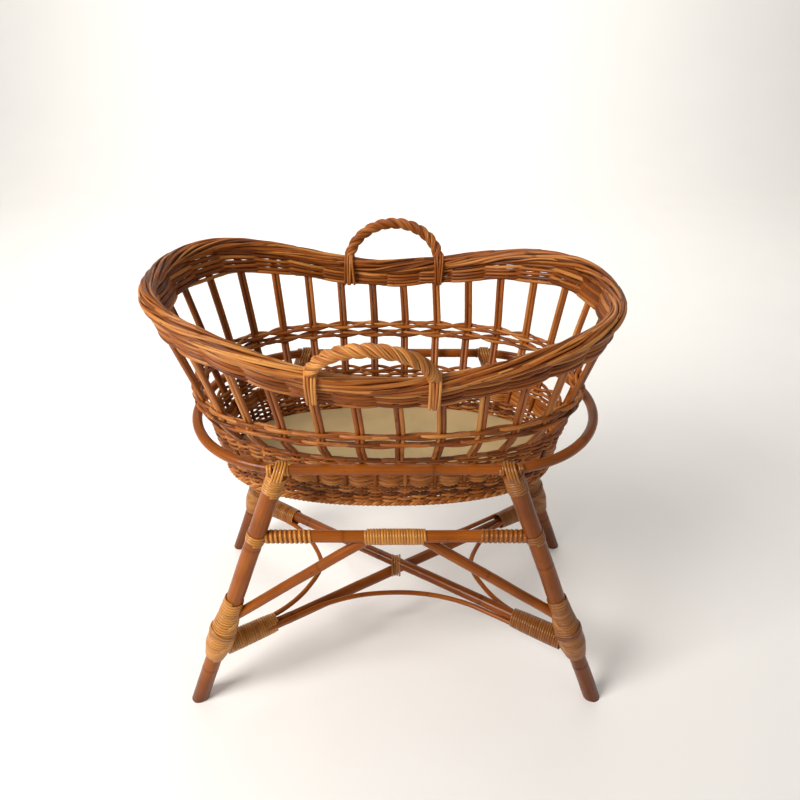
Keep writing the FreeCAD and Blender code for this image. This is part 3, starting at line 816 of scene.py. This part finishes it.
class BASSINET_OT_weave(Operator):
    """Weave the side, the middle band and the upper wale"""
    bl_idname = "bassinet.weave"
    bl_label = "Weave sides"

    def execute(self, context):
        g = context.scene.bassinet_basket
        n = g.stakes
        r = g.weaver / MM
        side = Strands("side_weave_rods", 401)
        for j in range(20):
            level = between(BASE, WEAVE_TOP, (9.0 + j * 4.5) / 100.0)
            block = 9 <= j <= 13
            parity = 0 if block else (j % 2)
            weave_row(side, level, 3.9 if block else 3.4, 2 * n, np.pi * (parity + 0.5),
                      r * side.rng.uniform(0.96, 1.14), side.rng.random(), sides=7, per=8,
                      tone=side.rng.uniform(0.05, 0.75), wobble=0.6)
        for k in range(2):
            weave_row(side, WEAVE_TOP, 5.6, n, np.pi * k, r * 1.3, 0.3, lift=3.3, crowd=-0.15,
                      lift_phase=np.pi * k + np.pi / 2, tone=0.2 + 0.25 * k, per=16)
        side.build(finish("willow"), "basket", "willow", "side_weave")
        band = Strands("mid_band_rods", 402)
        for j, k0 in enumerate((0.24, 0.78)):
            level = between(MID_LOW, MID_HIGH, k0)
            for k in range(2):
                weave_row(band, level, 6.4, n, np.pi * (k + j), r * 1.4, 0.1 * j + 0.33,
                          lift=3.1, lift_phase=np.pi * (k + j) + np.pi / 2, per=16, crowd=-0.08,
                          tone=(0.15, 0.5, 0.3, 0.6)[2 * j + k])
            for k in (-1, 1):
                weave_row(band, between(MID_LOW, MID_HIGH, k0 + k * 0.06), 5.6, n,
                          np.pi * (j + 0.5 * k), r * 1.15, 0.2 * j + 0.13, per=16, crowd=-0.08,
                          tone=0.4 + 0.2 * k)
        band.build(finish("willow"), "basket", "willow", "mid_band")
        wale = Strands("upper_wale_rods", 403)
        for j in range(11):
            level = between(BAND_LOW, RIM, (0.3 + j * 3.0) / 37.0)
            weave_row(wale, level, 4.6, n, np.pi * (j % 2), r * wale.rng.uniform(1.15, 1.35),
                      wale.rng.random(), lift=0.6, per=18, crowd=0.04, lean=0.6, ends=0.42,
                      tone=wale.rng.uniform(0.0, 0.8), wobble=0.9)
        wale.build(finish("willow"), "basket", "willow", "upper_wale")
        return {"FINISHED"}


class BASSINET_OT_rim(Operator):
    """Roll the thick border of rods round the rim"""
    bl_idname = "bassinet.rim"
    bl_label = "Roll rim border"

    def execute(self, context):
        g = context.scene.bassinet_basket
        bundle = Strands("rim_border_rods", 501)
        rod = g.border / MM
        strands = 25
        turns = 3.0
        count = 600
        s = np.linspace(0, 1.0015, count)
        p, n = oval(RIM, s)
        up = np.array([0.0, 0.0, 1.0])
        run = s * 2080.0
        # A dark core rod of tone 0: painted shade filling the gaps between the border rods
        bundle.strand(p, n, 9.0, sides=10, tone=0.0)
        for k in range(strands):
            angle = 2 * np.pi * (turns * s + k / strands) + noise(bundle.rng, run, 430, 0.34)
            reach = 11.2 + noise(bundle.rng, run, 290, 1.5)
            radial = n * np.cos(angle)[:, None] + up * np.sin(angle)[:, None]
            path = p + radial * reach[:, None]
            saw = (run / 360.0 + bundle.rng.random()) % 1.0
            thick = rod * (1.1 - 0.35 * saw) * bundle.rng.uniform(0.9, 1.1)
            shade = noise(bundle.rng, run, 420, 0.18)
            shade += np.interp(saw, [0, 0.03, 0.97, 1], [-0.35, 0, 0, -0.35])
            # Painted light and shade: the front of the rim is made lighter, and the rear and the
            # two ends of the oval darker
            shade -= 0.11 * n[:, 1] + 0.15 * n[:, 0] ** 2
            bundle.strand(path, radial, thick, sides=6, tone=bundle.rng.uniform(0.05, 0.85),
                          shade=shade)
        bundle.build(finish("willow"), "basket", "willow", "rim_border")
        return {"FINISHED"}


class BASSINET_OT_handles(Operator):
    """Twist the two rope handles and lash them over the rim"""
    bl_idname = "bassinet.handles"
    bl_label = "Twist handles"

    def execute(self, context):
        g = context.scene.bassinet_basket
        thin = g.rope / MM
        # pale is painted light and shade: the front handle and its lashing are paler as if lit,
        # and the rear ones darker as if in shade
        for side, sy, pale in (("front", -1, 0.75), ("rear", 1, 0.45)):
            rope = Strands("handle_" + side + "_rope", 601 + sy)
            centre = HANDLE_X[side]
            y0, z0 = rim_at(centre - HANDLE_HALF)
            y1, z1 = rim_at(centre + HANDLE_HALF)
            row = [(centre - HANDLE_HALF, sy * (y0 - 6.1 * d), z0 - 38.0 * d) for d in (1.0, 0.5)]
            for i in range(13):
                t = np.pi * (1 - i / 12.0)
                k = (1 + np.cos(t)) / 2.0
                rise = 68.0 * np.sin(t)
                row.append((centre + HANDLE_HALF * np.cos(t),
                            sy * (y0 + (y1 - y0) * k + rise * 0.55),
                            z0 + (z1 - z0) * k + 2.0 + rise))
            row += [(centre + HANDLE_HALF, sy * (y1 - 6.1 * d), z1 - 38.0 * d) for d in (0.5, 1.0)]
            path = smooth(row, 420)
            face = unit(np.array([0.0, sy * 1.0, -0.55]))
            along = unit(np.gradient(path, axis=0))
            n = unit(face - (along @ face)[:, None] * along)
            side_way = np.cross(along, n)
            run = np.concatenate([[0], np.cumsum(np.linalg.norm(np.diff(path, axis=0), axis=1))])
            # A dark core rod of tone 0: painted shade filling the gaps between the rope's rods
            rope.strand(path, n, 6.6, sides=10, tone=0.0)
            for group in range(3):
                for j in range(4):
                    turn = run / 64.0 + group / 3.0 + (j - 1.5) * 0.068
                    angle = 2 * np.pi * turn
                    radial = n * np.cos(angle)[:, None] + side_way * np.sin(angle)[:, None]
                    reach = (7.2, 9.0, 9.0, 7.2)[j] + noise(rope.rng, run, 60, 0.25)
                    rope.strand(path + radial * reach[:, None], radial, thin, sides=7,
                                tone=pale + rope.rng.uniform(-0.25, 0.25))
            rope.build(finish("willow"), "basket", "willow", "handle_" + side)
            lash = Strands("handle_" + side + "_lashing", 611 + sy)
            section = [(-15.8, 4), (-9.0, 13.8), (0.0, 17.0), (9.0, 14.4), (16.4, 4), (16.8, -8),
                       (13.0, -24), (9.0, -38.0), (-3.0, -42.0), (-14.0, -38), (-16.5, -18)]
            for sx, y, z in ((-1, y0, z0), (1, y1, z1)):
                x = centre + sx * HANDLE_HALF
                for dx in (-7.2, -2.6, 2.4, 7.0):
                    skew = lash.rng.uniform(-0.08, 0.08)
                    ring = [(x + dx + skew * h, sy * (y + w), z + h)
                            for w, h in section + section[:2]]
                    line = smooth(ring, 66)
                    middle = np.array([x + dx, sy * y, z - 12.0])
                    lash.strand(line, unit(line - middle), 2.4, sides=7,
                                tone=pale + lash.rng.uniform(-0.2, 0.25))
            lash.build(finish("willow"), "basket", "willow", "lashing_" + side)
        return {"FINISHED"}


class BASSINET_OT_board(Operator):
    """Cut the loose oval board with softened edges"""
    bl_idname = "bassinet.board"
    bl_label = "Cut board"

    def execute(self, context):
        low, high = np.array(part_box("board"))
        a, b = (high[0] - low[0]) / 2.0 / MM, (high[1] - low[1]) / 2.0 / MM
        middle = (low[0] + high[0]) / 2.0 / MM
        z0, z1 = low[2] / MM, high[2] / MM
        t = np.linspace(0, 2 * np.pi, 160, endpoint=False)
        rings = [(6.0, z0), (1.2, z0), (0.3, z0 + 0.5), (0.0, z0 + 1.4), (0.0, z1 - 1.4),
                 (0.3, z1 - 0.5), (1.2, z1), (6.0, z1)]
        points, faces = [], []
        for inset, z in rings:
            r = (np.abs(np.cos(t) / (a - inset)) ** 2.3
                 + np.abs(np.sin(t) / (b - inset)) ** 2.3) ** (-1 / 2.3)
            points += [((middle + q * math.cos(w)) * MM, q * math.sin(w) * MM, z * MM)
                       for q, w in zip(r, t)]
        m = len(t)
        for i in range(len(rings) - 1):
            for j in range(m):
                k = (j + 1) % m
                faces.append((i * m + j, i * m + k, (i + 1) * m + k, (i + 1) * m + j))
        faces.append(tuple(reversed(range(m))))
        faces.append(tuple(range((len(rings) - 1) * m, len(rings) * m)))
        mesh = bpy.data.meshes.new("board_sheet")
        mesh.from_pydata(points, [], faces)
        mesh.shade_smooth()
        mesh.materials.append(finish("board"))
        place(bpy.data.objects.new("board_sheet", mesh), "board", "board", "board")
        return {"FINISHED"}


# ---------------------------------------------------------------- stage

class BASSINET_OT_stage(Operator):
    """Add the pale floor, the soft lights and the camera"""
    bl_idname = "bassinet.stage"
    bl_label = "Set stage"

    def execute(self, context):
        g = context.scene.bassinet_stage
        scene = context.scene
        mesh = bpy.data.meshes.new("floor")
        rows = [(-8.0, 0.0), (3.2, 0.0)]
        for i in range(1, 13):
            t = math.pi / 2 * i / 12
            rows.append((3.2 + 1.5 * math.sin(t), 1.5 - 1.5 * math.cos(t)))
        rows.append((4.7, 6.0))
        points = [(x, y, z) for y, z in rows for x in (-9.0, 9.0)]
        faces = [(2 * i, 2 * i + 1, 2 * i + 3, 2 * i + 2) for i in range(len(rows) - 1)]
        mesh.from_pydata(points, [], faces)
        mesh.shade_smooth()
        mesh.materials.append(finish("floor"))
        floor = bpy.data.objects.new("floor", mesh)
        scene.collection.objects.link(floor)
        for name, power, width, spot, aim in (
                ("key_light", g.key, 1.3, (-1.9, -1.4, 2.4), (0.0, 0.0, 0.5)),
                ("fill_light", g.fill, 2.4, (2.6, -1.6, 1.6), (0.0, 0.0, 0.5)),
                ("backdrop_light", g.back, 2.6, (-0.4, 1.9, 3.4), (0.0, 4.7, 1.2))):
            lamp = bpy.data.lights.new(name, "AREA")
            lamp.energy, lamp.size = power, width
            lamp.color = (1.0, 0.97, 0.93)
            piece = bpy.data.objects.new(name, lamp)
            piece.location = spot
            way = np.array(aim) - np.array(spot)
            piece.rotation_euler = (math.atan2(math.hypot(way[0], way[1]), -way[2]), 0.0,
                                    math.atan2(way[1], way[0]) - math.pi / 2)
            scene.collection.objects.link(piece)
        world = bpy.data.worlds.new("room")
        world.use_nodes = True
        back = world.node_tree.nodes["Background"]
        back.inputs["Color"].default_value = (1.0, 0.985, 0.96, 1.0)
        back.inputs["Strength"].default_value = g.sky
        scene.world = world
        scene.view_settings.view_transform = "Standard"
        camera = bpy.data.cameras.new("camera")
        camera.lens, camera.sensor_width = g.lens, 36.0
        camera.clip_end = 50.0
        piece = bpy.data.objects.new("camera", camera)
        piece.location = (0.006, -1.108, 1.280)
        piece.rotation_euler = (math.radians(90.0 - 32.3), 0.0, math.radians(-0.14))
        scene.collection.objects.link(piece)
        scene.camera = piece
        return {"FINISHED"}


class BASSINET_PT_panel(Panel):
    bl_label = "Bassinet on stand"
    bl_idname = "BASSINET_PT_panel"
    bl_space_type = "VIEW_3D"
    bl_region_type = "UI"
    bl_category = "Bassinet"

    def draw(self, context):
        for title, group in (("Stand", context.scene.bassinet_stand),
                             ("Basket", context.scene.bassinet_basket),
                             ("Colours", context.scene.bassinet_colours),
                             ("Stage", context.scene.bassinet_stage)):
            box = self.layout.box()
            box.label(text=title)
            for name in group.bl_rna.properties.keys():
                if name not in ("rna_type", "name"):
                    box.prop(group, name)
        for step in STEPS:
            self.layout.operator("bassinet." + step)


STEPS = ("poles", "cane", "nails", "bottom", "stakes", "weave", "rim", "handles", "board", "stage")
GROUPS = {"bassinet_stand": BassinetStandSizes, "bassinet_basket": BassinetBasketSizes,
          "bassinet_colours": BassinetColours, "bassinet_stage": BassinetStage}
CLASSES = (*GROUPS.values(), BASSINET_OT_poles, BASSINET_OT_cane, BASSINET_OT_nails,
           BASSINET_OT_bottom, BASSINET_OT_stakes, BASSINET_OT_weave, BASSINET_OT_rim,
           BASSINET_OT_handles, BASSINET_OT_board, BASSINET_OT_stage, BASSINET_PT_panel)


def register():
    for item in CLASSES:
        bpy.utils.register_class(item)
    for name, group in GROUPS.items():
        setattr(bpy.types.Scene, name, PointerProperty(type=group))


def unregister():
    for name in GROUPS:
        delattr(bpy.types.Scene, name)
    for item in reversed(CLASSES):
        bpy.utils.unregister_class(item)


def main():
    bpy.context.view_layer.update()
    register()
    for step in STEPS:
        getattr(bpy.ops.bassinet, step)()


if __name__ == "__main__":
    main()
